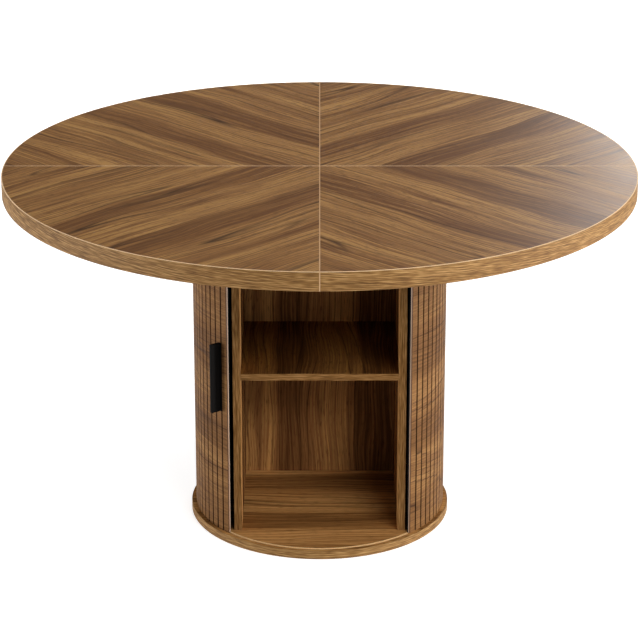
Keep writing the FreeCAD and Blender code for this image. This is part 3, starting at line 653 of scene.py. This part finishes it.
def place(name, shape, stands_for, finishes, grain=None, pick=None):
    """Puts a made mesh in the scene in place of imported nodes, with its grain, finishes, body and slot."""
    mesh = bpy.data.meshes.new(name)
    shape.to_mesh(mesh)
    shape.free()
    for polygon in mesh.polygons:
        polygon.use_smooth = True
        polygon.material_index = pick(polygon.normal, polygon.center / MM) if pick else 0
    mesh.set_sharp_from_angle(angle=math.radians(SMOOTH_ANGLE))
    for finish in finishes:
        mesh.materials.append(finish)
    if grain:
        laid = mesh.attributes.new("grain", "FLOAT_VECTOR", "CORNER")
        for polygon in mesh.polygons:
            for corner in polygon.loop_indices:
                point = mesh.vertices[mesh.loops[corner].vertex_index].co / MM
                laid.data[corner].vector = grain(point, polygon.normal, polygon.center / MM)
    piece = bpy.data.objects.new(name, mesh)
    bpy.context.scene.collection.objects.link(piece)
    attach(piece, NODES[stands_for[0]]["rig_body"])
    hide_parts(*stands_for)


def coat(node, finish):
    """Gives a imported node, shown as it is, one finish."""
    NODES[node].data.materials.clear()
    NODES[node].data.materials.append(finish)


def outward(normal, middle):
    """Gives how far a face looks away from the drum's axis, 1 at most."""
    return normal.dot(Vector((middle.x, middle.y, 0.0)).normalized())


# Picks of a finish for a face, from its normal and its middle: each gives a place in the list of finishes


def upward(normal, _):
    return 1 if normal.z > FACES_UP else 0


def downward(normal, _):
    return 1 if normal.z < -FACES_LEVEL else 0


def frontward(normal, _):
    return 1 if normal.y < -FACES_FRONT else 0


def crossways(_, middle):
    return 1 if abs(middle.x) > abs(middle.y) else 0


def outer_face(normal, middle):
    return 1 if outward(normal, middle) > FACES_OUT else 0


# Faces in a flute take painted shade, and faces on its shoulders a softer painted shade
def in_flute(normal, middle):
    facing = outward(normal, middle)
    return 0 if facing > SLAT_FACE else 2 if facing > SLAT_SHOULDER else 1


def make_top():
    """Four veneered quarters, their rim bands with a pale upper arris, the pale seam bands and the dowels."""
    for number, quarter in enumerate(QUARTERS):
        node = "top_quarter_" + quarter
        place(node + "_veneered", welded(node), [node], [TOP_VENEER, BACKING_PAPER],
              quarter_grain, downward)
        node = "rim_band_" + quarter
        low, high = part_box(node)
        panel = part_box("top_quarter_" + quarter)
        outer = max(abs(low.x), abs(high.x))
        inner = max(abs(panel[0].x), abs(panel[1].x))
        gap = math.degrees(math.asin(min(abs(low.x), abs(high.x)) / inner))
        profile = band_profile(inner, outer, low.z, high.z, RIM_ROUND * MM)
        shape = turned(profile, 90 * (number + 1) + gap, 90 - 2 * gap, QUARTER_STEPS)
        place(node + "_rounded", shape, [node], [RIM_VENEER, EDGING_PAINTED_LIGHT],
              drum_grain(leaf=3.0 + number, slope=RIM_GRAIN_SLOPE), upward)
    # The seam that runs from side to side takes the edging painted paler as light
    place("seam_bands_rounded", seam_strips(), ["seam_bands"], [PALE_EDGING, EDGING_PAINTED_LIGHT],
          pick=crossways)
    coat("seam_dowels", BEECH)


def make_drum():
    """Plinth, compartment, fixed skin, and the wall that the shut door uncovers."""
    place("base_board_veneered", welded("base_board"), ["base_board"], [BASE_VENEER_PAINTED_LIGHT, CHIP_BOARD],
          axis_grain(X_AXIS, leaf=5.0, side=-1.0), downward)
    low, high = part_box("base_edge_band")
    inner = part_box("base_board")[1].x
    profile = band_profile(inner, high.x, low.z, high.z, PLINTH_ROUND * MM)
    place("base_edge_band_rounded", turned(profile, 0, 360, 4 * QUARTER_STEPS), ["base_edge_band"],
          [PLINTH_VENEER_PAINTED_LIGHT], drum_grain(leaf=8.0))
    place("cabinet_head_board_veneered", welded("cabinet_head_board"), ["cabinet_head_board"],
          [BOARD_VENEER], axis_grain(X_AXIS, leaf=6.0))
    for number, side in enumerate(("left", "right")):
        node = "partition_" + side
        place(node + "_veneered", eased(node, BOARD_EASE), [node], [BOARD_VENEER, BOARD_EDGE],
              axis_grain(Z_AXIS, leaf=7.0 + number), frontward)
    place("back_panel_veneered", eased("back_panel", BOARD_EASE), ["back_panel"], [BOARD_VENEER],
          axis_grain(Z_AXIS, leaf=9.0))
    place("shelf_veneered", eased("shelf", BOARD_EASE), ["shelf"], [SHELF_VENEER_PAINTED_SHADE, BOARD_EDGE],
          axis_grain(Y_AXIS, leaf=10.0), frontward)
    place("fixed_slats_veneered", welded("fixed_slats"), ["fixed_slats"],
          [SLAT_VENEER, FLUTE_PAINTED_SHADE, SHOULDER_PAINTED_SHADE],
          drum_grain(leaf=11.0, shift=SKIN_LEAF_SHIFT, first_slat=FIRST_FIXED_SLAT), in_flute)
    place("fixed_edge_strips_striped", welded("fixed_edge_strips"), ["fixed_edge_strips"], [EDGING_WITH_PAINTED_SHADE],
          strip_grain)
    # The wall's inner face takes painted shade, its outer face the slats' walnut
    place("side_wall_left_veneered", welded("side_wall_left"), ["side_wall_left"],
          [PAINTED_SHADE_BOARD, SLAT_VENEER],
          drum_grain(leaf=13.0, shift=SKIN_LEAF_SHIFT), outer_face)
    coat("floor_bead", OAK_BEAD)
    # Ribs and backing take painted shade, the dark seen through the gaps
    for node in ("rib_left", "rib_right", "rib_rear", "fixed_backing"):
        coat(node, PAINTED_SHADE_BOARD)


def make_door():
    """Tambour of slats on canvas, with the strip on its end and its pull."""
    place("door_slats_veneered", welded("door_slats"), ["door_slats"],
          [SLAT_VENEER, FLUTE_PAINTED_SHADE, SHOULDER_PAINTED_SHADE],
          drum_grain(leaf=14.0, shift=SKIN_LEAF_SHIFT, first_slat=FIRST_DOOR_SLAT), in_flute)
    place("door_edge_strip_striped", welded("door_edge_strip"), ["door_edge_strip"], [EDGING_WITH_PAINTED_SHADE],
          strip_grain)
    place("door_cloth_woven", welded("door_cloth"), ["door_cloth"], [CANVAS],
          drum_grain(leaf=0.0))
    place("door_pull_coated", eased("door_pull", PULL_EASE), ["door_pull"], [BLACK_COAT])


def make_fittings():
    """Plates, screws and pins of zinc-plated steel."""
    place("seam_plates_plated", eased("seam_plates", PLATE_EASE), ["seam_plates"], [ZINC])
    for node in ("seam_plate_screws", "top_fixing_screws", "base_screws", "head_screws", "door_pull_screws"):
        place(node + "_round", screws(node), [node], [ZINC])
    place("shelf_pins_round", pins("shelf_pins"), ["shelf_pins"], [ZINC])


def lamp(name, spot, aim, sides, power, mirrored=False):
    """A soft box: its spot, what it looks at, its sides in metres, its watts, and if gloss mirrors it."""
    light = bpy.data.lights.new(name, "AREA")
    light.shape = "RECTANGLE"
    light.size, light.size_y = sides
    light.energy = power
    holder = bpy.data.objects.new(name, light)
    holder.location = spot
    holder.rotation_euler = (Vector(aim) - Vector(spot)).to_track_quat("-Z", "Y").to_euler()
    holder.visible_glossy = mirrored
    bpy.context.scene.collection.objects.link(holder)


def make_stage():
    """White floor, even surroundings, and soft boxes at the sides, in front, behind and overhead."""
    floor_radius, floor_sides = 40.0, 64
    floor_glow, surroundings = 0.74, 0.2
    middle = (0.0, 0.0, 0.45)
    mesh = bpy.data.meshes.new("studio_floor")
    shape = bmesh.new()
    bmesh.ops.create_circle(shape, cap_ends=True, radius=floor_radius, segments=floor_sides)
    shape.to_mesh(mesh)
    shape.free()
    floor = bpy.data.objects.new("studio_floor", mesh)
    bpy.context.scene.collection.objects.link(floor)
    material, tree, shader = new_material(
        "paper_floor_white", Base_Color=linear("#D4D4D4"), Roughness=0.9, Specular_IOR_Level=0.0)
    # The floor's glow is seen by the camera and in gloss, so that the floor is white, and it lights nothing
    rays = add(tree, "ShaderNodeLightPath")
    seen = add(tree, "ShaderNodeMath", {
        0: rays.outputs["Is Camera Ray"], 1: rays.outputs["Is Glossy Ray"]}, operation="MAXIMUM")
    shown = add(tree, "ShaderNodeMath", {
        0: seen.outputs[0], 1: rays.outputs["Is Transmission Ray"]}, operation="MAXIMUM")
    glow = add(tree, "ShaderNodeMath", {0: shown.outputs[0], 1: floor_glow}, operation="MULTIPLY")
    shader.inputs["Emission Color"].default_value = grey(1.0)
    tree.links.new(glow.outputs[0], shader.inputs["Emission Strength"])
    mesh.materials.append(material)

    world = bpy.data.worlds.new("studio_surroundings")
    world.use_nodes = True
    background = world.node_tree.nodes["Background"]
    background.inputs["Color"].default_value = grey(1.0)
    background.inputs["Strength"].default_value = surroundings
    bpy.context.scene.world = world

    lamp("right_box", (4.057, -1.087, 0.42), middle, (0.7, 0.7), 124.0, mirrored=True)
    lamp("left_box", (-4.10, -0.87, 0.42), middle, (0.7, 0.7), 95.0, mirrored=True)
    lamp("front_box", (2.096, -3.489, 2.85), middle, (3.0, 1.0), 116.0)
    lamp("low_front_box", (1.77, -3.79, 0.55), middle, (1.0, 1.0), 10.0)
    lamp("back_box", (0.0, 4.43, 1.23), middle, (1.6, 1.6), 60.0)
    lamp("overhead_box", (0.0, 0.9, 4.4), middle, (3.0, 3.0), 67.0)
    lamp("sheen_box", (1.72, 4.6, 1.95), (0.6, 0.0, 0.76), (1.2, 1.2), 55.0, mirrored=True)


def make_camera():
    """The photographed view."""
    camera = bpy.data.cameras.new("photo_view")
    camera.sensor_width = CAMERA_SENSOR
    camera.lens = CAMERA_LENS
    camera.shift_x, camera.shift_y = CAMERA_SHIFT
    holder = bpy.data.objects.new("photo_view", camera)
    holder.location = CAMERA_PLACE
    holder.rotation_euler = (math.radians(90 - CAMERA_PITCH), 0.0, 0.0)
    bpy.context.scene.collection.objects.link(holder)
    bpy.context.scene.camera = holder


make_top()
make_drum()
make_door()
make_fittings()
make_stage()
make_camera()
bpy.context.scene.view_settings.view_transform = "Standard"
